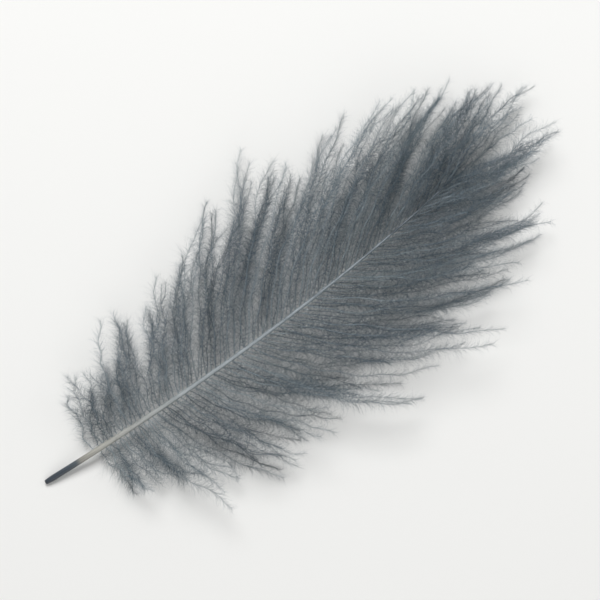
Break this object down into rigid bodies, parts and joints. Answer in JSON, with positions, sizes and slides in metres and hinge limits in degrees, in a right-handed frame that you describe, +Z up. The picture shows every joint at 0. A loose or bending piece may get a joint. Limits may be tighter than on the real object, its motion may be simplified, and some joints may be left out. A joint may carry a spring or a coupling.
{
  "type": "cul de canard feather",
  "caption": "Small downy duck feather, lying flat: a short bare quill foot, a fine bowed shaft, and soft blue-grey locks of down fanning from both sides.",
  "frame": {"origin": "on the surface that the feather lies on, under the middle of its bounding box", "axes": "+Y from the foot of the quill towards the tip, +Z up from the surface, +X to the right when seen from above with the tip ahead"},
  "size_m": [0.0256, 0.0532, 0.0045],
  "materials": {
    "down": "soft matte down, dyed blue dun",
    "quill": "semi-gloss horn, pale grey, slate grey at the foot"
  },
  "bodies": {
    "root": {"feather": "down"}
  },
  "joints": []
}
